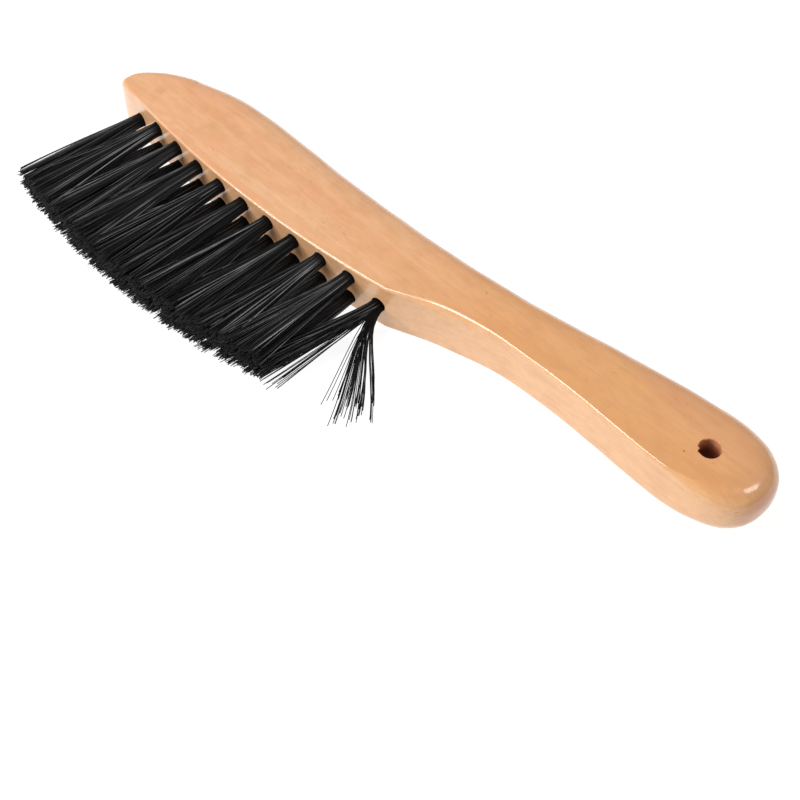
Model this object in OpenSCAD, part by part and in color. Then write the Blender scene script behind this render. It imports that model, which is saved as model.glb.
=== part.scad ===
// Flat wooden duster brush: one shaped block of hardwood that is head, waist and handle
// in one piece, with tufts of black filament drilled into its curved lower face.
// The brush lies on one of its flat sides: X runs from the tip of the head to the end of
// the handle, the bristles point along -Y and Z is the thickness of the block.

/* [Block] */
// Length of the block, tip of the head to end of the handle
block_l = 317; // [305:1:325]
// Thickness of the block between its two flat sides
block_t = 22; // [20:0.5:25]
// Radius of the large round-over along the back, the tip and the end of the handle
back_r = 9; // [6:0.5:9]
// Radius of the crisp edge along the bristle face and the underside of the handle
edge_r = 1; // [0.6:0.1:1.5]
// Radius of the short softer stretch of upper edge just behind the heel
heel_edge_r = 3; // [1:0.5:3.5]
// Radius of the worn lower edge along the inside of the grip
grip_edge_r = 3.5; // [1:0.5:3.5]
// Depth of the bristle face's gentle belly between the tip and the heel
belly = 5.4; // [3:0.1:8]

/* [Hanging hole] */
// Diameter of the hole through the handle
hang_d = 8; // [6:0.5:10]
// Distance from the end of the handle to the hole's centre
hang_in = 25; // [22:0.5:30]

/* [Tufts] */
// Diameter of each blind tuft hole
tuft_d = 6; // [5:0.1:6.4]
// Depth of each blind tuft hole
tuft_depth = 11; // [9:0.5:13]
// Distance between the upper and the lower row of tufts
row_gap = 10.8; // [9.6:0.1:12]
// Distance from one tuft to the next along the face
tuft_pitch = 14.3; // [13:0.1:14.6]
// Length of filament that stands out of the face in the middle of the head
bristle_l = 56; // [40:1:60]
// How far the filaments lean towards the tip of the head at their cut ends
lean = 3.5; // [0:0.5:6]

/* [Anchors] */
// Length of the flat wire across a tuft, which bites into the wood on both sides
anchor_l = 7.2; // [6.6:0.1:8]
// Thickness of the flat wire
anchor_t = 0.5; // [0.3:0.1:0.8]
// Height of the flat wire along the hole
anchor_h = 2; // [1.5:0.1:2.5]

/* [Colours] */
// Lacquered wood
wood_colour = "BurlyWood"; // [BurlyWood, Peru, Tan]
// Bristle filament
bristle_colour = "DimGray"; // [DimGray, Black, SaddleBrown]
// Anchor wire
wire_colour = "Silver"; // [Silver, Goldenrod]

/* [Hidden] */
pairs = 9;                            // side by side pairs between the tip and heel tufts
columns = pairs + 2;                  // places along the face, the single end tufts included

// Outline of the block, as knots [x, y, heading in degrees, reach, [lower, upper edge radius]],
// going round anticlockwise. A cubic curve joins each knot to the next, and reach is the length
// of its two handles over the distance between the knots. x is for a block 317 mm long.
// Each radius leaves its knot quickly and settles slowly towards the next knot's.
std_l = 317;
stretch = block_l / std_l;
heel_x = 163.5 * stretch;
chin_x = 14 * stretch;
back_y = 49.7;
end_more = 2;                         // the lower edge is rounder still at the handle's end
tip_r = 4.5;                          // edge radius at the narrow foremost point
quickness = 0.65;                     // how soon an edge radius changes after a knot
hang_y = 28.75;                       // centre of the hanging hole, across the handle
waist = [192 * stretch, 20.6];        // middle of the waist
crisp = [edge_r, edge_r];
round_over = [back_r, back_r];
knots = [
    [163.5,  0.0,  20, 0.45, crisp],                    // heel, where the bristle face ends
    [190.0,  9.2,  14, 0.42, [edge_r, heel_edge_r]],    // rise of the waist
    [228.0, 13.7,   1, 0.42, [grip_edge_r, edge_r]],    // inside of the grip
    [285.0, 11.8,  -1, 0.46, [grip_edge_r, edge_r]],    // start of the end of the handle
    [317.0, 30.0,  90, 0.42, [back_r + end_more, back_r]],  // end of the handle
    [292.0, back_y, 180, 0.22, round_over],             // highest point of the back
    [204.0, 38.0, 187, 0.40, round_over],               // back of the waist
    [119.0, 33.6, 180, 0.40, round_over],               // back of the head, slightly hollow
    [ 59.0, 35.2, 180, 0.38, round_over],               // crown of the head
    [ 24.0, 29.4, 198, 0.25, round_over],               // start of the tip
    [  0.0,  7.0, 270, 0.43, [tip_r, tip_r]],           // foremost point
    [ 14.0,  0.0, 354, 0.45, crisp],                    // chin, where the bristle face begins
];

// Bristle face: an arc from the chin to the heel
face_mid = (heel_x + chin_x) / 2;
face_half = (heel_x - chin_x) / 2;
face_arc_r = (face_half * face_half + belly * belly) / (2 * belly);
function face_y(x) = face_arc_r - belly - sqrt(pow(face_arc_r, 2) - pow(x - face_mid, 2));
function face_turn(x) = asin((x - face_mid) / face_arc_r);

// Cut ends of the filaments: a flatter arc, deepest a little towards the tip
trim_r = 350;
trim_mid = 72 * stretch;
trim_low = -belly - bristle_l;
function trim_y(x) = trim_low + trim_r - sqrt(pow(trim_r, 2) - pow(x - trim_mid, 2));

// Frame: the middle of the whole brush, seen from above, is over the origin
mid_x = block_l / 2;
mid_y = (back_y + trim_low) / 2;

// How finely the curves are divided
curve_steps = 9;
corner_steps = 14;
face_steps = 16;
round_steps = 5;
ring_n = 20;

// Clearances
tuft_gap = 0.3;                       // between the cut ends of neighbouring tufts
side_in = 0.3;                        // from the cut ends to the block's two flat sides
root_gap = 0.1;                       // around a tuft in its hole
bottom_gap = 0.1;                     // under a tuft in its hole
notch_gap = 0.05;                     // around an anchor wire
fold = 0.5;                           // filament folded under the anchor wire
over = 2;                             // how far a cutter stands out of the wood

function heading(a) = [cos(a), sin(a)];
function bezier(a, b, c, d, t) =
    pow(1 - t, 3) * a + 3 * pow(1 - t, 2) * t * b + 3 * (1 - t) * t * t * c + t * t * t * d;
function smooth(t) = t * t * (3 - 2 * t);
function mix(a, b, t) = a + (b - a) * t;
function stretched(k) = [k[0] * stretch, k[1]];

// One stretch of outline from knot a to knot b, as [point, radii] without its last point
function stretch_of(a, b) =
    let (p = stretched(a), q = stretched(b), arm = norm(q - p) * a[3],
         p1 = p + arm * heading(a[2]), q1 = q - arm * heading(b[2]),
         steps = abs(sin((b[2] - a[2]) / 2)) > 0.5 ? corner_steps : curve_steps)
    [for (i = [0:steps - 1])
        let (t = i / steps) [bezier(p, p1, q1, q, t), mix(a[4], b[4], smooth(pow(t, quickness)))]];
function face_stretch() =
    [for (i = [0:face_steps - 1])
        let (x = mix(chin_x, heel_x, i / face_steps)) [[x, face_y(x)], crisp]];
outline = concat([for (k = [0:len(knots) - 2]) each stretch_of(knots[k], knots[k + 1])],
    face_stretch());

// Inward normal at each outline point, from its two neighbours
rim_n = len(outline);
function rim(i) = outline[(i + rim_n) % rim_n][0];
function inward(i) = let (d = rim(i + 1) - rim(i - 1)) [-d[1], d[0]] / norm(d);

// Edge profile, bottom to top: [share of the radius inward, share away from the flat, edge]
quarter = [for (i = [0:round_steps]) 90 * i / round_steps];
bottom_levels = [for (a = quarter) [1 - sin(a), 1 - cos(a), 0]];
top_levels = [for (a = quarter) [1 - cos(a), 1 - sin(a), 1]];
levels = concat(bottom_levels, top_levels);
function rim_point(level, i) =
    let (r = outline[i][1][level[2]], p = rim(i) + inward(i) * r * level[0], up = r * level[1])
    [p[0], p[1], level[2] == 0 ? up : block_t - up];

// Moves everything from the layout of the outline to the frame of the part
module place() translate([-mid_x, -mid_y, 0]) children();

// Stack of rings of n points each, closed at both ends by a fan round a hub point
module ring_stack(rings, foot, crown) {
    n = len(rings[0]);
    last = len(rings) - 1;
    hub = (last + 1) * n;
    polyhedron(
        points = concat([for (r = rings) each r], [foot, crown]),
        faces = concat(
            [for (i = [0:n - 1]) [i, (i + 1) % n, hub]],
            [for (k = [0:last - 1]) for (i = [0:n - 1])
                let (j = (i + 1) % n)
                [k * n + i, (k + 1) * n + i, (k + 1) * n + j, k * n + j]],
            [for (i = [0:n - 1]) [last * n + (i + 1) % n, last * n + i, hub + 1]]));
}

// The whole outline can be seen from the hub in the waist, so its fans don't fold
module block_shell()
    ring_stack([for (l = levels) [for (i = [0:rim_n - 1]) rim_point(l, i)]],
        [waist[0], waist[1], 0], [waist[0], waist[1], block_t]);

// Places along the face. z_up is +1 for the upper row, -1 for the lower row, 0 for a single
function column_x(c) = face_mid + (c - (columns - 1) / 2) * tuft_pitch;
function row_z(z_up) = block_t / 2 + z_up * row_gap / 2;

// Puts children at the mouth of a tuft hole, with -Y going straight out of the face
module at_hole(c, z_up) {
    x = column_x(c);
    translate([x, face_y(x), row_z(z_up)]) rotate([0, 0, face_turn(x)]) children();
}

module hole() {
    rotate([-90, 0, 0]) translate([0, 0, -over])
        cylinder(h = tuft_depth + over, d = tuft_d, $fn = 48);
}

module wire(gap) {
    size = [anchor_l, anchor_h, anchor_t] + 2 * gap * [1, 1, 1];
    translate([-size[0] / 2, tuft_depth - bottom_gap - fold - anchor_h - gap, -size[2] / 2])
        cube(size);
}

module wooden_block() {
    color(wood_colour) place() difference() {
        block_shell();
        translate([block_l - hang_in, hang_y, -over])
            cylinder(h = block_t + 2 * over, d = hang_d, $fn = 64);
        for (c = [0:columns - 1], z_up = c == 0 || c == columns - 1 ? [0] : [-1, 1])
            at_hole(c, z_up) {
                hole();
                wire(notch_gap);
            }
    }
}

// Ring of a bundle at share t of its free length. It grows from a circle of radius r round
// from_c at the face to a rounded box of half sizes half round to_c at the cut ends.
box_power = 0.55;                     // 1 makes the cut ends an ellipse, 0 a plain box
flare_power = 1.8;                    // above 1 a bundle flares most near its root
function box_side(v, power) = sign(v) * pow(abs(v), power);
function bundle_ring(from_c, turn, r, to_c, to_turn, half, trimmed, t) =
    let (grow = 1 - pow(1 - t, flare_power))
    [for (i = [0:ring_n - 1])
        let (a = 360 * i / ring_n,
             near = [r * cos(a) * cos(turn), r * cos(a) * sin(turn), r * sin(a)],
             side = half[0] * box_side(cos(a), box_power),
             end_x = to_c[0] + side * cos(to_turn),
             end_y = trimmed ? trim_y(end_x) - to_c[1] : side * sin(to_turn),
             far = [side * cos(to_turn), end_y, half[1] * box_side(sin(a), box_power)])
        mix(from_c, to_c, t) + mix(near, far, grow)];

// A bundle of filament: a round root set down its hole, then a flared free length
module bundle(c, z_up, r, shift, set_in, to_c, to_turn, half, trimmed) {
    x = column_x(c);
    turn = face_turn(x);
    from_c = [x, face_y(x), row_z(z_up)] + shift * [cos(turn), sin(turn), 0];
    into = set_in * [-sin(turn), cos(turn), 0];
    root = [for (p = bundle_ring(from_c, turn, r, to_c, to_turn, half, trimmed, 0)) p + into];
    free = [for (t = [0, 0.1, 0.25, 0.45, 0.7, 1])
        bundle_ring(from_c, turn, r, to_c, to_turn, half, trimmed, t)];
    ring_stack(concat([root], free), from_c + into, to_c);
}

root_r = tuft_d / 2 - root_gap;
root_depth = tuft_depth - bottom_gap;
cell_half = [(tuft_pitch - tuft_gap) / 2, (block_t - 3 * tuft_gap) / 4 - side_in];
function end_x(c) = column_x(c) - lean;
function end_z(z_up) = block_t / 2 + z_up * (cell_half[1] + tuft_gap / 2);

// An ordinary tuft, with the slot that its anchor wire passes through
module tuft(c, z_up) {
    x = end_x(c);
    color(bristle_colour) place() difference() {
        bundle(c, z_up, root_r, 0, root_depth, [x, trim_y(x), end_z(z_up)], 0, cell_half, true);
        at_hole(c, z_up) wire(notch_gap);
    }
}

// The heel tuft has parted: most of it leans to the tip, the rest splays towards the handle
module tuft_heel() {
    c = columns - 1;
    kept_x = end_x(c) - 1.5;
    kept_half = [5, 5];
    splay = 29;                       // degrees from square, towards the handle
    splay_l = 48;
    splay_z = 6;                      // its ends hang low
    splay_half = [7, 3];
    splay_r = 1.6;
    splay_side = 1.1;                 // its root keeps to the handle's side of the hole
    splay_set_in = 2;
    x = column_x(c);
    splay_end = [x + splay_l * sin(splay), face_y(x) - splay_l * cos(splay), splay_z];
    color(bristle_colour) place() difference() {
        union() {
            bundle(c, 0, root_r, 0, root_depth, [kept_x, trim_y(kept_x), block_t / 2], 0,
                kept_half, true);
            bundle(c, 0, splay_r, splay_side, splay_set_in, splay_end, splay, splay_half, false);
        }
        at_hole(c, 0) wire(notch_gap);
    }
}

module tuft_tip() tuft(0, 0);
module anchor(c, z_up) color(wire_colour) place() at_hole(c, z_up) wire(0);
module anchor_tip() anchor(0, 0);
module anchor_heel() anchor(columns - 1, 0);

wooden_block();
tuft_tip();
tuft_heel();
anchor_tip();
anchor_heel();
for (k = [1:pairs]) {
    tuft(k, 1);
    tuft(k, -1);
    anchor(k, 1);
    anchor(k, -1);
}
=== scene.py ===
"""Flat wooden duster brush with black tufts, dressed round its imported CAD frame.

Lengths in the layout are in millimetres with x = 0 at the tip of the head, as the block was
drawn; place() moves them to the part's own frame, in metres.
"""

import functools
import math

import bmesh
import bpy
import numpy as np
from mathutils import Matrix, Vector


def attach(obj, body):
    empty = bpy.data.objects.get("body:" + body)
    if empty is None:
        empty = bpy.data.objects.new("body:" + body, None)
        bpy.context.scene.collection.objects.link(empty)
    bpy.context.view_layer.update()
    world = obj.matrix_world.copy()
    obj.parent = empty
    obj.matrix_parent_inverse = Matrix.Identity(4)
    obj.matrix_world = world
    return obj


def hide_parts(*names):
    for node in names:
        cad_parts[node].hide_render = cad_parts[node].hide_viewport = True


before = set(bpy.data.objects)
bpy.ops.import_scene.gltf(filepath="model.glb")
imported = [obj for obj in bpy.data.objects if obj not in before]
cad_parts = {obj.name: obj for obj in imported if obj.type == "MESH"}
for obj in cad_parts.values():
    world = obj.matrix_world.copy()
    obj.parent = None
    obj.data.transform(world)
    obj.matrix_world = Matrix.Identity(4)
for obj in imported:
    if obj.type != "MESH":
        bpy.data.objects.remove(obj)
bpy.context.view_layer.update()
rng = np.random.default_rng(1729)

MM = 0.001
UP = np.array([0.0, 0.0, 1.0])
FULL_TURN = 2 * math.pi

# the block and its edges
BLOCK_L, BLOCK_H, BLOCK_T = 317.0, 49.7, 22.0
EDGE_R = 1.0                # crisp edges along the bristle face and the top of the grip
HEEL_EDGE_R = 3.0           # upper edge just behind the heel
GRIP_EDGE_R = 3.5           # lower edge inside the grip
BACK_R = 9.0
END_R = BACK_R + 2          # lower edge at the end of the handle
TIP_R = 4.5
RADIUS_PACE = 0.65          # each radius leaves its knot quickly and settles slowly
SANDED = 0.10               # share by which hand sanding varies the radii
SANDED_SEED, SANDED_WAVES = 5, (9, 17, 31, 53)      # waves of that round the whole outline
SOFT = 0.55                 # share by which a full round-over runs out further into the flat
SOFT_FROM, SOFT_FULL = 5.0, 9.0             # radii at which that starts and is complete

# the hanging hole, and the splinter at its upper rim
HOLE_C = (292.0, 28.75)
HOLE_R = 4.0
RIM = 0.35
SPLINTER_AT, SPLINTER_DOWN = math.radians(222), 1.1

# the bristle face and its tuft holes
TUFT_R = 3.0
TUFT_DEPTH = 11.0
LIP = 0.2
ROW_GAP = 10.8
PITCH = 14.3
COLUMNS = 11
CHIN_X, HEEL_X = 14.0, 163.5
BELLY = 5.4
FACE_MID = (CHIN_X + HEEL_X) / 2
FACE_HALF = (HEEL_X - CHIN_X) / 2
FACE_ARC = (FACE_HALF ** 2 + BELLY ** 2) / (2 * BELLY)

# the arc of the cut ends
TRIM_R, TRIM_MID, TRIM_LOW = 350.0, 72.0, -61.4
WEAR, WEAR_FROM = 0.0007, 100.0             # the ends are a little shorter towards the heel
LEAN = 3.5
MID_X, MID_Y = BLOCK_L / 2, (BLOCK_H + TRIM_LOW) / 2

# how finely the block is cut: edge lengths of its outline, and counts
STEP, BEND_STEP = 1.8, 0.9
FACE_STEPS = 84
EDGE_STEPS = 11
HANG_SEGMENTS, TUFT_SEGMENTS = 96, 40
SHARP = math.radians(38)

# marks of the wood on the flat side, in metres in the part's frame: place and radius
PIN_KNOT = (0.1279, 0.0275, 0.00026)
BLOTCH = (-0.1395, 0.0160, 0.0016)
SLANT, RING_Y, RING_SOFT = -0.151, 0.0564, 0.0008    # a growth ring's edge: slope, y at x = 0

# x, y, heading in degrees, handles as a share of the distance, lower and upper edge radius
KNOTS = [
    (HEEL_X, 0.0, 20, 0.45, EDGE_R, EDGE_R),
    (190.0, 9.2, 14, 0.42, EDGE_R, HEEL_EDGE_R),
    (228.0, 13.7, 1, 0.42, GRIP_EDGE_R, EDGE_R),
    (285.0, 11.8, -1, 0.46, GRIP_EDGE_R, EDGE_R),
    (BLOCK_L, 30.0, 90, 0.42, END_R, BACK_R),
    (292.0, BLOCK_H, 180, 0.22, BACK_R, BACK_R),
    (204.0, 38.0, 187, 0.40, BACK_R, BACK_R),
    (119.0, 33.6, 180, 0.40, BACK_R, BACK_R),
    (59.0, 35.2, 180, 0.38, BACK_R, BACK_R),
    (24.0, 29.4, 198, 0.25, BACK_R, BACK_R),
    (0.0, 7.0, 270, 0.43, TIP_R, TIP_R),
    (CHIN_X, 0.0, 354, 0.45, EDGE_R, EDGE_R),
]

# noise patterns of the wood: scale, turn about z, offset, detail, roughness, distortion
ORIGIN = (0, 0, 0)
PATTERNS = {
    "bands": ((5, 80, 50), 0.03, ORIGIN, 3.0, 0.55, 0.6),
    "rings": ((3.2, 42, 26), -0.035, (5, 3, 1), 1.0, 0.4, 0.5),
    "fibre": ((70, 1500, 1500), 0.0, ORIGIN, 4.0, 0.6, 0.0),
    "cloud": ((60, 110, 110), 0.0, (3, 1, 0), 3.0, 0.55, 0.3),
    "blush": ((14, 50, 50), 0.0, (1, 8, 2), 2.0, 0.5, 0.4),
    "amber": ((16, 50, 50), 0.0, (7, 2, 5), 2.0, 0.5, 0.4),
    "flecks": ((420, 1300, 1300), 0.0, (1, 9, 4), 1.0, 0.4, 0.0),
    "sparse": ((60, 110, 110), 0.0, (4, 6, 2), 1.0, 0.5, 0.0),
    "mottle": ((150, 300, 300), 0.0, (6, 3, 9), 3.0, 0.6, 0.4),
    "streaks": ((24, 420, 420), 0.0, (2, 4, 1), 3.0, 0.65, 0.5),
    "wave": ((60, 140, 140), 0.0, (2, 2, 8), 2.0, 0.5, 0.0),
}

# display colours of the wood, 0..255
WOOD = {
    "pale": (236, 187, 144),
    "warm": (225, 169, 120),
    "ring": (232, 166, 122),
    "blush": (236, 172, 130),
    "handle": (229, 168, 108),
    "amber": (220, 150, 84),
    "inner grip": (226, 157, 92),
    # painted light on the walls, lighter than the top
    "wall": (242, 194, 142),
    "cloud": (208, 146, 98),
    "behind ring": (218, 156, 116),
    "mottle": (214, 150, 100),
    "streaks": (208, 144, 92),
    "end grain": (200, 124, 76),
    "fibre": (176, 112, 62),
    "speck": (142, 84, 46),
    "pin knot": (120, 66, 34),
    "blotch": (200, 132, 84),
    # painted shade deep down in the holes
    "bore, painted shade": (132, 62, 32),
    "bore, rim": (224, 158, 114),
    "bore, grain": (142, 62, 38),
}

# filament: its mesh, and how many are in each bundle
SIDES = 5
FIL_R = 0.165
FIL_R_VARIES, FIL_R_LIMITS = 0.12, (0.7, 1.35)      # both as shares of FIL_R
DOWN_HOLE = 4.0             # depth in its hole at which a filament's mesh starts
LOWEST, HIGHEST = 0.35, BLOCK_T + 1.5       # heights between which the ends' middles stay
OFF_FLOOR = 0.05            # least height of the mesh
IN_TIP, IN_ROWS, IN_KEPT, IN_WISPS, IN_LOOSE = 250, 240, 108, 24, 58
# how the ends spread: a lower power makes a bundle's end squarer, and the rest are standard
# deviations in half widths of the bundle
BOX_POWER = 0.72
SCATTER, LOCK_SCATTER, STRAY_SCATTER = 0.05, 0.08, (0.28, 0.14)
LOCK_RHO, LOCK_PHI = 0.06, 0.25             # of a lock's middle: outwards, and round in radians
PULL_VARIES = (0.6, 1.25)                   # least and greatest factor on a lock's pull
UNTRIMMED = 3               # factor on the varied length of ends that are off the trimmed arc
# how a filament bends: the second handle's length as a share of the whole, and the scatter of
# that handle's end in millimetres, with the share of it that counts lengthwise
AIM = 0.38
BOW, LOCK_BOW, BOW_LENGTHWISE = 0.28, 0.5, 0.2
# how much painted glint filaments get, as a light grey colour: a filament's own share and its
# lock's, and the range of the strays
OWN_TONE, LOCK_TONE, STRAY_TONE = 0.85, 0.15, (0.3, 0.9)
# shares of the free length where a filament has a ring, and the painted shade at each ring, as a
# factor on its colour. The first value is for the ring down in the hole. The root is painted dark
# for the shadow of its neighbours, and the cut end, which shows little of its side, is painted
# dark for the shade among the ends.
SHARES = np.array([0, 0.05, 0.12, 0.24, 0.38, 0.54, 0.70, 0.86, 0.965, 1.0])
PAINTED_SHADE_ALONG = np.array([0.2, 0.25, 0.4, 0.85, 1, 1, 1, 1, 0.95, 0.75, 0.3])


def place(points):
    """Layout millimetres to the part's frame in metres."""
    return (np.asarray(points, float) - [MID_X, MID_Y, 0.0]) * MM


def face_y(x):
    return FACE_ARC - BELLY - np.sqrt(FACE_ARC ** 2 - (x - FACE_MID) ** 2)


def face_point(x, z):
    return np.array([x, float(face_y(x)), z])


def face_axes(x):
    """Unit vectors at a place on the bristle face: along it towards the heel, and out of it."""
    turn = float(np.arcsin((x - FACE_MID) / FACE_ARC))
    return (np.array([math.cos(turn), math.sin(turn), 0]),
            np.array([math.sin(turn), -math.cos(turn), 0]))


def trim_y(x):
    worn = WEAR * np.maximum(x - WEAR_FROM, 0.0) ** 2
    return TRIM_LOW + TRIM_R - np.sqrt(TRIM_R ** 2 - (x - TRIM_MID) ** 2) + worn


def column_x(c):
    return FACE_MID + (c - (COLUMNS - 1) / 2) * PITCH


def row_z(side):
    return BLOCK_T / 2 + side * ROW_GAP / 2


def tuft_places():
    """(column, z of the hole) of each tuft."""
    places = [(0, BLOCK_T / 2)]
    for c in range(1, COLUMNS - 1):
        places += [(c, row_z(1)), (c, row_z(-1))]
    return places + [(COLUMNS - 1, BLOCK_T / 2)]


def cubic(t, p, p1, q1, q):
    """Points of a cubic Bezier from p to q at the parameters t."""
    return (1 - t) ** 3 * p + 3 * (1 - t) ** 2 * t * p1 + 3 * (1 - t) * t * t * q1 + t ** 3 * q


def add_object(name, data):
    obj = bpy.data.objects.new(name, data)
    bpy.context.scene.collection.objects.link(obj)
    return obj


# ---------------------------------------------------------------- materials

def new_material(name):
    m = bpy.data.materials.new(name)
    m.use_nodes = True
    t = m.node_tree
    t.nodes.clear()
    out = t.nodes.new("ShaderNodeOutputMaterial")
    bsdf = t.nodes.new("ShaderNodeBsdfPrincipled")
    t.links.new(bsdf.outputs[0], out.inputs[0])
    return m, t, bsdf


def set_sockets(t, bsdf, **values):
    """Sets the shader's sockets, named with _ for a space, to constants or to a node's output."""
    for key, v in values.items():
        sock = bsdf.inputs[key.replace("_", " ")]
        if isinstance(v, bpy.types.NodeSocket):
            t.links.new(v, sock)
        else:
            sock.default_value = v


def srgb(r, g, b):
    """Display colour 0..255 to linear."""
    c = np.array([r, g, b]) / 255.0
    lin = np.where(c <= 0.04045, c / 12.92, ((c + 0.055) / 1.055) ** 2.4)
    return (*lin, 1.0)


def mapped(t, scale, turn=0.0, loc=ORIGIN):
    tc = t.nodes.new("ShaderNodeTexCoord")
    mp = t.nodes.new("ShaderNodeMapping")
    mp.inputs["Scale"].default_value = scale
    mp.inputs["Rotation"].default_value = (0, 0, turn)
    mp.inputs["Location"].default_value = loc
    t.links.new(tc.outputs["Object"], mp.inputs["Vector"])
    return mp.outputs["Vector"]


def noise(t, vector, detail=3.0, rough=0.5, distort=0.0):
    n = t.nodes.new("ShaderNodeTexNoise")
    n.inputs["Scale"].default_value = 1.0
    n.inputs["Detail"].default_value = detail
    n.inputs["Roughness"].default_value = rough
    n.inputs["Distortion"].default_value = distort
    t.links.new(vector, n.inputs["Vector"])
    return n.outputs["Fac"]


def remap(t, value, a, b, lo=0.0, hi=1.0):
    """Smooth step from lo at a to hi at b."""
    r = t.nodes.new("ShaderNodeMapRange")
    r.interpolation_type = "SMOOTHSTEP"
    for key, v in zip(("From Min", "From Max", "To Min", "To Max"), (a, b, lo, hi)):
        r.inputs[key].default_value = v
    t.links.new(value, r.inputs["Value"])
    return r.outputs["Result"]


def math_node(t, op, a, b=0.0):
    n = t.nodes.new("ShaderNodeMath")
    n.operation = op
    for i, v in enumerate((a, b)):
        if isinstance(v, (int, float)):
            n.inputs[i].default_value = v
        else:
            t.links.new(v, n.inputs[i])
    return n.outputs[0]


def times(t, *values):
    return functools.reduce(lambda a, b: math_node(t, "MULTIPLY", a, b), values)


def mix_colour(t, fac, a, b):
    n = t.nodes.new("ShaderNodeMix")
    n.data_type = "RGBA"
    for sock, v in (("Factor", fac), ("A", a), ("B", b)):
        s = next(i for i in n.inputs if i.name == sock and i.enabled)
        if isinstance(v, (int, float, tuple)):
            s.default_value = v
        else:
            t.links.new(v, s)
    return next(o for o in n.outputs if o.enabled)


def bump(t, height, distance, strength, normal=None):
    n = t.nodes.new("ShaderNodeBump")
    n.inputs["Strength"].default_value = strength
    n.inputs["Distance"].default_value = distance
    t.links.new(height, n.inputs["Height"])
    if normal is not None:
        t.links.new(normal, n.inputs["Normal"])
    return n.outputs["Normal"]


def separate(t, vector):
    n = t.nodes.new("ShaderNodeSeparateXYZ")
    t.links.new(vector, n.inputs[0])
    return n.outputs


def spot(t, here, x, y, r):
    """1 near a place on the flat side, fading to 0 at 2 r."""
    dx = math_node(t, "SUBTRACT", here[0], x)
    dy = math_node(t, "SUBTRACT", here[1], y)
    far = math_node(t, "ADD", times(t, dx, dx), times(t, dy, dy))
    return remap(t, far, 4 * r * r, r * r * 0.5)


def wood_material():
    m, t, bsdf = new_material("lacquered_wood")
    x, y, _ = separate(t, mapped(t, (1, 1, 1)))
    facing = separate(t, t.nodes.new("ShaderNodeNewGeometry").outputs["Normal"])
    top = remap(t, facing[2], 0.6, 0.95)
    pattern = {name: noise(t, mapped(t, *p[:3]), *p[3:]) for name, p in PATTERNS.items()}

    def levels(name, *limits):
        return remap(t, pattern[name], *limits)

    def layer(colour, name, amount):
        return mix_colour(t, amount, colour, srgb(*WOOD[name]))

    colour = layer(srgb(*WOOD["pale"]), "warm", levels("bands", 0.30, 0.72))
    # a growth ring runs out to the surface in a long soft line
    ring = times(t, levels("rings", 0.487, 0.513), levels("rings", 0.72, 0.50))
    colour = layer(colour, "ring", times(t, ring, 0.45))
    colour = layer(colour, "blush", levels("blush", 0.45, 0.70, 0, 0.45))
    # richer, more amber wood towards the handle, and a darker amber band on the top beside the
    # front edge of the grip
    along = remap(t, x, -0.05, 0.10)
    colour = layer(colour, "handle", times(t, along, 0.80))
    colour = layer(colour, "amber", times(t, levels("amber", 0.48, 0.70), along, 0.50))
    inner = times(t, remap(t, y, 0.034, 0.0185), remap(t, x, 0.02, 0.06), top,
                  levels("blush", 0.35, 0.6, 0.25, 0.7))
    colour = layer(colour, "inner grip", inner)
    # painted light: every surface that does not face up is painted a shade lighter and yellower
    # than the top, for the light the walls catch from the bright floor
    colour = layer(colour, "wall", times(t, math_node(t, "SUBTRACT", 1.0, top), 0.45))
    colour = layer(colour, "cloud", levels("cloud", 0.48, 0.78, 0, 0.42))
    # the pinker wood behind one growth ring, whose edge slants across the handle
    slant = math_node(t, "SUBTRACT", y, times(t, x, SLANT))
    slant = math_node(t, "ADD", slant, levels("bands", 0.3, 0.7, -0.0012, 0.0012))
    behind = times(t, remap(t, slant, RING_Y - RING_SOFT, RING_Y + RING_SOFT),
                   times(t, top, remap(t, x, 0.045, 0.085)))
    colour = layer(colour, "behind ring", times(t, behind, 0.38))
    colour = layer(colour, "mottle", levels("mottle", 0.42, 0.66, 0, 0.30))
    colour = layer(colour, "streaks", levels("streaks", 0.50, 0.72, 0, 0.20))
    # end grain drinks more lacquer and turns redder
    end = math_node(t, "ABSOLUTE", facing[0])
    colour = layer(colour, "end grain", remap(t, end, 0.55, 1.0, 0, 0.70))
    colour = layer(colour, "fibre", levels("fibre", 0.3, 0.75, 0, 0.15))
    speck = times(t, levels("flecks", 0.70, 0.78), levels("sparse", 0.55, 0.66, 0, 0.5))
    colour = layer(colour, "speck", speck)
    # a pin knot beside the hanging hole, and a faint blotch near the tip
    colour = layer(colour, "pin knot", times(t, spot(t, (x, y), *PIN_KNOT), 0.6))
    colour = layer(colour, "blotch", times(t, spot(t, (x, y), *BLOTCH), 0.28))

    rough = math_node(t, "ADD", levels("cloud", 0.3, 0.7, 0.34, 0.44),
                      levels("fibre", 0.3, 0.7, -0.03, 0.03))
    waved = bump(t, pattern["wave"], 0.0006, 0.25)
    set_sockets(t, bsdf, Base_Color=colour, Roughness=rough, Specular_IOR_Level=0.4,
                Normal=bump(t, pattern["fibre"], 0.00006, 0.5, waved),
                Coat_Weight=0.75, Coat_Roughness=0.13, Coat_IOR=1.7,
                Coat_Normal=bump(t, pattern["wave"], 0.0006, 0.18))
    return m


def bore_material():
    """Bare wood in the holes, with painted shade that keeps it dark except near the upper rim of
    the hanging hole.
    """
    m, t, bsdf = new_material("bare_bored_wood")
    grain = noise(t, mapped(t, (500, 500, 2600)), 3.0, 0.6)
    # painted shade that deepens down the holes, lifting near the top of the block
    high = remap(t, separate(t, mapped(t, (1, 1, 1)))[2], 0.0145, 0.0215)
    colour = mix_colour(t, high, srgb(*WOOD["bore, painted shade"]), srgb(*WOOD["bore, rim"]))
    colour = mix_colour(t, remap(t, grain, 0.35, 0.7, 0, 0.5), colour, srgb(*WOOD["bore, grain"]))
    set_sockets(t, bsdf, Base_Color=colour, Roughness=0.7, Specular_IOR_Level=0.15,
                Normal=bump(t, grain, 0.0003, 0.6))
    return m


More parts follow.
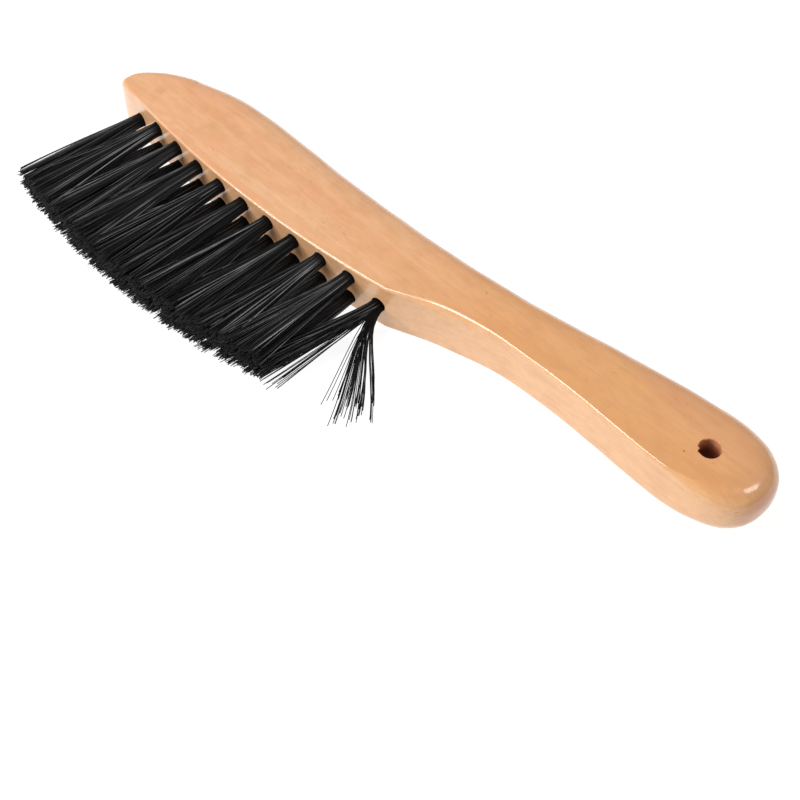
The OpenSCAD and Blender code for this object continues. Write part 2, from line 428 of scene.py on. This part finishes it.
def bristle_material():
    """Black filament with painted glints: the few with a high value are painted light grey, in
    streaks along their length, and painted shade darkens their roots and ends.
    """
    m, t, bsdf = new_material("black_filament")
    glint_and_shade = t.nodes.new("ShaderNodeAttribute")
    glint_and_shade.attribute_name = "glint_and_shade"
    glint_and_shade = glint_and_shade.outputs["Fac"]
    streak = noise(t, mapped(t, (900, 60, 900)), 2.0, 0.5)
    fac = math_node(t, "POWER", times(t, glint_and_shade, remap(t, streak, 0.3, 0.7, 0.7, 1.0)), 2.5)
    colour = mix_colour(t, fac, (0.0006, 0.0006, 0.0007, 1), (0.60, 0.60, 0.61, 1))
    set_sockets(t, bsdf, Base_Color=colour, Roughness=remap(t, glint_and_shade, 0, 1, 0.50, 0.36),
                Specular_IOR_Level=0.20)
    return m


def wire_material():
    m, t, bsdf = new_material("anchor_wire_metal")
    drawn = noise(t, mapped(t, (300, 4000, 4000)), 3.0, 0.6)
    colour = mix_colour(t, drawn, (0.42, 0.42, 0.40, 1), (0.66, 0.66, 0.63, 1))
    set_sockets(t, bsdf, Base_Color=colour, Roughness=remap(t, drawn, 0.2, 0.8, 0.25, 0.5),
                Metallic=1.0)
    return m


# ---------------------------------------------------------------- wooden block

def bezier_stretch(a, b):
    """x, y, lower and upper radius along the outline from one knot up to the next."""
    p, q = np.array(a[:2]), np.array(b[:2])
    gap = np.linalg.norm(q - p)
    ha, hb = math.radians(a[2]), math.radians(b[2])
    p1 = p + gap * a[3] * np.array([math.cos(ha), math.sin(ha)])
    q1 = q - gap * a[3] * np.array([math.cos(hb), math.sin(hb)])
    bend = abs(math.sin(math.radians((b[2] - a[2]) / 2))) > 0.5
    n = int(gap / (BEND_STEP if bend else STEP))
    t = (np.arange(n) / n)[:, None]
    quick = t[:, 0] ** RADIUS_PACE
    s = quick * quick * (3 - 2 * quick)
    radii = np.outer(1 - s, a[4:]) + np.outer(s, b[4:])
    return np.c_[cubic(t, p, p1, q1, q), radii]


def block_outline():
    rows = [bezier_stretch(a, b) for a, b in zip(KNOTS, KNOTS[1:])]
    x = CHIN_X + (HEEL_X - CHIN_X) * np.arange(FACE_STEPS) / FACE_STEPS
    rows.append(np.c_[x, face_y(x), np.full((len(x), 2), EDGE_R)])
    return np.vstack(rows)


def wavy(s, seed, waves):
    """Smooth noise along an outline of length 1, about -1..1."""
    r = np.random.default_rng(seed)
    return sum(r.normal() * np.sin(FULL_TURN * (w * s + r.random())) / math.sqrt(w)
               for w in waves) / 1.5


def new_mesh(name, verts, faces):
    me = bpy.data.meshes.new(name)
    me.from_pydata([tuple(v) for v in verts], [], faces)
    me.update()
    return me


def build_block():
    line = block_outline()
    xy, radii = line[:, :2], line[:, 2:]
    n = len(xy)
    d = np.roll(xy, -1, 0) - np.roll(xy, 1, 0)
    inward = np.c_[-d[:, 1], d[:, 0]] / np.linalg.norm(d, axis=1)[:, None]
    radii = radii * (1 + SANDED * wavy(np.arange(n) / n, SANDED_SEED, SANDED_WAVES))[:, None]
    # the big round-over runs out into the flat more softly than a true quarter circle
    soft = SOFT * np.clip((radii - SOFT_FROM) / (SOFT_FULL - SOFT_FROM), 0, 1)
    quarter = np.linspace(0, math.pi / 2, EDGE_STEPS)
    levels = [(1 - math.sin(a), 1 - math.cos(a), 0) for a in quarter]
    levels += [(1 - math.cos(a), 1 - math.sin(a), 1) for a in quarter]
    rings = []
    for share, up, top in levels:
        r = radii[:, top]
        reach = r * share * (1 + soft[:, top] * share ** 2)
        z = BLOCK_T - r * up if top else r * up
        rings.append(np.c_[xy + inward * reach[:, None], z])
    ids = np.arange(n * len(levels)).reshape(len(levels), n).tolist()
    faces = [tuple(ids[0][::-1])]
    for low, high in zip(ids, ids[1:]):
        faces += zip(low, low[1:] + low[:1], high[1:] + high[:1], high)
    faces.append(tuple(ids[-1]))
    return new_mesh("block_mesh", place(np.vstack(rings)), faces)


def lathe(profile, frame_fn, n, wobble=None):
    """Closed turned cutter: profile is [(radius, height), ...] from one pole to the other."""
    verts, faces = [], []
    angle = np.linspace(0, FULL_TURN, n, endpoint=False)
    for radius, height in profile:
        rr = radius + (wobble(angle, height) if wobble else np.zeros(n))
        verts += [frame_fn(r * math.cos(a), r * math.sin(a), height) for a, r in zip(angle, rr)]
    for k in range(len(profile) - 1):
        for i in range(n):
            j = (i + 1) % n
            faces.append((k * n + i, k * n + j, (k + 1) * n + j, (k + 1) * n + i))
    faces.append(tuple(range(n - 1, -1, -1)))
    faces.append(tuple((len(profile) - 1) * n + i for i in range(n)))
    return verts, faces


def ragged(angle, height):
    """Uneven wall of the hanging hole: a splinter stands into it at the upper rim."""
    near_rim = math.exp(-((BLOCK_T - height) / SPLINTER_DOWN) ** 2) if height <= BLOCK_T else 1.0
    off = (angle - SPLINTER_AT + math.pi) % FULL_TURN - math.pi
    burr = -0.75 * np.exp(-(off / 0.10) ** 2) + 0.30 * np.exp(-((off - 0.32) / 0.13) ** 2)
    return near_rim * burr + 0.02 * np.sin(3 * angle + 1) + 0.015 * np.sin(7 * angle)


def hole_frame(c, z):
    """Maps across, down and out of a tuft hole to the part's frame."""
    x = column_x(c)
    side, out = face_axes(x)
    root = face_point(x, z)
    return lambda u, v, h: place(root + side * u - UP * v + out * h)


def cutters():
    """All the holes as one mesh of separate closed solids, each flared past the surface."""
    hanging = [(HOLE_R + 1.5, -1.15), (HOLE_R + RIM, 0.0), (HOLE_R + 0.1, 0.15), (HOLE_R, RIM)]
    hanging += [(HOLE_R, z) for z in (4, 8, 12, 16, 19, 20.4, 21.2)]
    hanging += [(HOLE_R, BLOCK_T - RIM), (HOLE_R + 0.1, BLOCK_T - 0.12),
                (HOLE_R + 0.32, BLOCK_T), (HOLE_R + 1.5, BLOCK_T + 1.18)]
    tuft = [(TUFT_R - LIP, -TUFT_DEPTH), (TUFT_R, -TUFT_DEPTH + LIP), (TUFT_R, -0.22),
            (TUFT_R + LIP, 0.0), (TUFT_R + 1.4, 1.2)]
    parts = [lathe(hanging, lambda u, v, h: place((HOLE_C[0] + u, HOLE_C[1] + v, h)),
                   HANG_SEGMENTS, ragged)]
    parts += [lathe(tuft, hole_frame(c, z), TUFT_SEGMENTS) for c, z in tuft_places()]
    verts, faces = [], []
    for part_verts, part_faces in parts:
        base = len(verts)
        verts += part_verts
        faces += [tuple(i + base for i in f) for f in part_faces]
    return new_mesh("cutter_mesh", verts, faces)


def outward(me):
    bm = bmesh.new()
    bm.from_mesh(me)
    bmesh.ops.recalc_face_normals(bm, faces=bm.faces)
    if bm.calc_volume(signed=True) < 0:
        bmesh.ops.reverse_faces(bm, faces=bm.faces)
    bm.to_mesh(me)
    bm.free()


def apply_modifiers(obj):
    bpy.context.view_layer.update()
    deps = bpy.context.evaluated_depsgraph_get()
    done = bpy.data.meshes.new_from_object(obj.evaluated_get(deps))
    obj.modifiers.clear()
    obj.data = done


def make_wood():
    block, cut = build_block(), cutters()
    outward(block)
    outward(cut)
    block.materials.append(wood_material())
    block.materials.append(bore_material())
    cut.materials.append(block.materials[1])
    wood, cutter = add_object("shaped_wood", block), add_object("cutter", cut)
    holes = wood.modifiers.new("holes", "BOOLEAN")
    holes.operation = "DIFFERENCE"
    holes.solver = "EXACT"
    holes.object = cutter
    holes.material_mode = "TRANSFER"
    apply_modifiers(wood)
    bpy.data.objects.remove(cutter)
    for p in wood.data.polygons:
        p.use_smooth = True
    wood.data.set_sharp_from_angle(angle=SHARP)
    shading = wood.modifiers.new("even_shading", "WEIGHTED_NORMAL")
    shading.mode = "FACE_AREA"
    shading.keep_sharp = True
    apply_modifiers(wood)
    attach(wood, "root")
    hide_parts("wooden_block")


# ---------------------------------------------------------------- filament

def tubes(name, paths, radii, tones, material):
    """One mesh of closed tubes. paths is (filament, step, xyz) in layout millimetres, and radii
    and tones are (filament, step)."""
    n, steps, _ = paths.shape
    tangent = np.gradient(paths, axis=1)
    tangent /= np.linalg.norm(tangent, axis=2, keepdims=True)
    one = np.cross(tangent, UP)
    one /= np.linalg.norm(one, axis=2, keepdims=True)
    two = np.cross(tangent, one)
    angle = np.linspace(0, FULL_TURN, SIDES, endpoint=False) + 0.3
    ring = (one[:, :, None] * np.cos(angle)[None, None, :, None]
            + two[:, :, None] * np.sin(angle)[None, None, :, None])
    verts = paths[:, :, None] + ring * radii[:, :, None, None]
    verts[..., 2] = np.maximum(verts[..., 2], OFF_FLOOR)
    verts = place(verts.reshape(-1, 3))
    ids = np.arange(len(verts)).reshape(n, steps, SIDES)
    low, high = ids[:, :-1], ids[:, 1:]
    quads = np.stack([low, high, np.roll(high, -1, 2), np.roll(low, -1, 2)], -1).reshape(-1, 4)
    loops = np.concatenate([quads.ravel(), ids[:, 0].ravel(), ids[:, -1, ::-1].ravel()])
    sizes = np.concatenate([np.full(len(quads), 4), np.full(2 * n, SIDES)])
    starts = np.concatenate([[0], np.cumsum(sizes)[:-1]])
    smooth = np.concatenate([np.ones(len(quads), bool), np.zeros(2 * n, bool)])
    me = bpy.data.meshes.new(name)
    me.vertices.add(len(verts))
    me.vertices.foreach_set("co", verts.astype(np.float32).ravel())
    me.loops.add(len(loops))
    me.loops.foreach_set("vertex_index", loops.astype(np.int32))
    me.polygons.add(len(sizes))
    me.polygons.foreach_set("loop_start", starts.astype(np.int32))
    me.polygons.foreach_set("use_smooth", smooth)
    me.update(calc_edges=True)
    me.validate()
    glint_and_shade = me.attributes.new("glint_and_shade", "FLOAT", "POINT")
    glint_and_shade.data.foreach_set("value", np.repeat(tones.ravel(), SIDES).astype(np.float32))
    me.materials.append(material)
    return add_object(name, me)


def disc(n):
    """Even places in a unit disc, turning by the golden angle from one to the next."""
    i = np.arange(n)
    return np.sqrt((i + 0.5) / n), i * math.pi * (3 - math.sqrt(5))


def polar(rho, phi):
    return np.c_[rho * np.cos(phi), rho * np.sin(phi)]


def into_locks(u, count, pull):
    """Ends gathered into locks: the new places in the unit disc, and each one's lock."""
    rho, phi = disc(count)
    centre = polar(rho + rng.normal(0, LOCK_RHO, count), phi + rng.normal(0, LOCK_PHI, count))
    lock = np.argmin(((u[:, None] - centre[None]) ** 2).sum(2), 1)
    pulls = pull * rng.uniform(*PULL_VARIES, count)[lock][:, None]
    return u + (centre[lock] - u) * pulls, lock


def bundle(c, z, count, end_centre, half, end_turn=0.0, root_r=2.85, shift=0.0, locks=30,
           pull=0.32, strays=0.08, trimmed=True, rag=0.50, lock_rag=0.42, hook=0.16, light=1.0):
    """Paths and tones of a tuft's filament, from down in its hole to its cut ends.

    c and z are the hole's column and height, and shift moves the root along the face. end_centre
    is the middle of the cut ends, half their half sizes across and up, and end_turn the turn of
    that box. pull gathers the ends into locks, strays is the share that leaves them, rag and
    lock_rag vary the length, hook is the reach of the handle at the root, and light scales tone.
    """
    x = column_x(c)
    side, out = face_axes(x)
    rho, phi = disc(count)
    u = polar(rho, phi)
    start = face_point(x, z) + shift * side + root_r * (u[:, :1] * side + u[:, 1:] * UP)

    # the round root spreads into a rounded box at the cut ends
    box = np.sign(u) * np.abs(u / rho[:, None]) ** BOX_POWER * rho[:, None]
    spread, lock = into_locks(box, locks, pull)
    spread += rng.normal(0, SCATTER, (count, 2)) + rng.normal(0, LOCK_SCATTER, (locks, 2))[lock]
    stray = rng.random(count) < strays
    spread[stray] += rng.normal(0, 1, (stray.sum(), 2)) * STRAY_SCATTER
    across = np.array([math.cos(end_turn), math.sin(end_turn), 0])
    tip = np.array(end_centre) + spread[:, :1] * half[0] * across + spread[:, 1:] * half[1] * UP
    cut = rng.normal(0, rag, count) + rng.normal(0, lock_rag, locks)[lock]
    if trimmed:
        tip[:, 1] = trim_y(tip[:, 0]) + cut
    else:
        away = (tip - start) / np.linalg.norm(tip - start, axis=1)[:, None]
        tip += away * cut[:, None] * UNTRIMMED
    tip[:, 2] = np.clip(tip[:, 2], LOWEST, HIGHEST)

    # a Bezier whose first handle leaves the hole straight and whose second aims back at the root
    run = tip - start
    length = np.linalg.norm(run, axis=1)[:, None, None]
    bow = rng.normal(0, LOCK_BOW, (locks, 3))[lock] + rng.normal(0, BOW, (count, 3))
    bow[:, 1] *= BOW_LENGTHWISE
    start, tip = start[:, None], tip[:, None]
    path = cubic(SHARES[None, :, None], start, start + out * hook * length,
                 tip - AIM * run[:, None] + bow[:, None], tip)
    # painted glint: each filament's and its lock's share of light grey, the strays lighter
    glint_and_shade = rng.beta(0.9, 2.2, count) * OWN_TONE + rng.beta(1.2, 2.2, locks)[lock] * LOCK_TONE
    glint_and_shade[stray] = np.maximum(glint_and_shade[stray], rng.uniform(*STRAY_TONE, stray.sum()))
    return np.concatenate([start - out * DOWN_HOLE, path], axis=1), glint_and_shade * light


def finish_tuft(name, node, bundles, material):
    paths, tones = (np.concatenate(part) for part in zip(*bundles))
    n, steps, _ = paths.shape
    thick = rng.normal(1, FIL_R_VARIES, n).clip(*FIL_R_LIMITS)
    radii = FIL_R * thick[:, None] * np.ones((1, steps))
    obj = tubes(name, paths, radii, tones[:, None] * PAINTED_SHADE_ALONG[None], material)
    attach(obj, "root")
    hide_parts(node)


def make_bristles():
    mat = bristle_material()
    mid = BLOCK_T / 2
    x = column_x(0) - LEAN
    tip = bundle(0, mid, IN_TIP, (x, trim_y(x), 8.2), (7.8, 5.6), strays=0.05)
    finish_tuft("filament_tip", "tuft_tip", [tip], mat)
    for side, row, end_z in ((1, "upper", 13.6), (-1, "lower", 6.0)):
        for k in range(1, COLUMNS - 1):
            x = column_x(k) - LEAN - 1.0 + rng.normal(0, 0.9)
            tuft = bundle(k, row_z(side), IN_ROWS, (x, trim_y(x), end_z), (10.0, 4.6))
            finish_tuft(f"filament_{row}_{k}", f"tuft_{row}_{k}", [tuft], mat)

    # the heel tuft has parted: most leans with the others, wisps hang between, and the rest
    # splays towards the handle
    c = COLUMNS - 1
    x = column_x(c)
    kept_x, wisp_x, dull = x - 13.5, x - 6.0, 0.3
    kept = bundle(c, mid, IN_KEPT, (kept_x, trim_y(kept_x), 6.0), (5.0, 4.4), shift=-0.6,
                  root_r=2.3, locks=12, pull=0.50, strays=0.15, hook=0.10)
    wisps = bundle(c, mid, IN_WISPS, (wisp_x, trim_y(wisp_x) + 1.0, 5.0), (5.5, 3.0),
                   root_r=2.0, locks=9, pull=0.5, strays=0.5, trimmed=False, rag=0.8,
                   lock_rag=0.5, hook=0.10, light=dull)
    splay, reach = math.radians(32.5), 44.8
    end = (x + reach * math.sin(splay), float(face_y(x)) - reach * math.cos(splay), 3.6)
    loose = bundle(c, mid - 1.0, IN_LOOSE, end, (9.5, 3.0), end_turn=splay, root_r=1.6,
                   shift=1.0, locks=10, pull=0.88, strays=0.20, trimmed=False, rag=0.6,
                   lock_rag=0.8, hook=0.30, light=dull)
    finish_tuft("filament_heel", "tuft_heel", [kept, wisps, loose], mat)


def dress_anchors():
    wire = wire_material()
    for node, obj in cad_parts.items():
        if node.startswith("anchor"):
            obj.data.materials.clear()
            obj.data.materials.append(wire)


# ---------------------------------------------------------------- stage

def area(name, location, target, size, power, shape="RECTANGLE"):
    data = bpy.data.lights.new(name, "AREA")
    data.shape = shape
    data.size, data.size_y = size
    data.energy = power
    obj = add_object(name, data)
    obj.location = location
    obj.rotation_euler = (Vector(target) - Vector(location)).to_track_quat("-Z", "Y").to_euler()


def make_stage():
    s, just_below = 6.0, -0.0002
    me = new_mesh("floor_mesh", [(-s, -s, 0), (s, -s, 0), (s, s, 0), (-s, s, 0)], [(0, 1, 2, 3)])
    m, t, bsdf = new_material("pale_floor")
    set_sockets(t, bsdf, Base_Color=(0.20, 0.20, 0.20, 1), Emission_Color=(1, 1, 1, 1),
                Emission_Strength=0.92, Roughness=0.9, Specular_IOR_Level=0.1)
    me.materials.append(m)
    floor = add_object("floor", me)
    floor.location.z = just_below

    world = bpy.data.worlds.new("studio")
    bpy.context.scene.world = world
    world.use_nodes = True
    background = world.node_tree.nodes["Background"]
    background.inputs[0].default_value = (1, 1, 1, 1)
    background.inputs[1].default_value = 0.30

    area("key", (-0.70, -1.00, 0.62), (0, 0, 0), (0.45, 0.30), 7.2)
    area("end_light", (0.65, 0.53, 0.98), (0.147, 0.017, 0.02), (0.30, 0.42), 1.9, "ELLIPSE")
    area("over", (-0.36, -0.36, 1.05), (0.02, 0, 0), (0.45, 0.55), 9.3)
    bpy.context.scene.view_settings.view_transform = "Standard"


def make_camera():
    elevation, azimuth = 49.5, 45.44
    data = bpy.data.cameras.new("camera")
    data.sensor_width = 36.0
    data.lens = 67.5
    data.shift_y = -0.125
    data.clip_start, data.clip_end = 0.01, 20.0
    cam = add_object("camera", data)
    cam.location = (0.26764, -0.24495, 0.44104)
    cam.rotation_euler = (math.radians(90 - elevation), 0.0, math.radians(azimuth))
    bpy.context.scene.camera = cam


make_camera()
make_wood()
make_bristles()
dress_anchors()
make_stage()
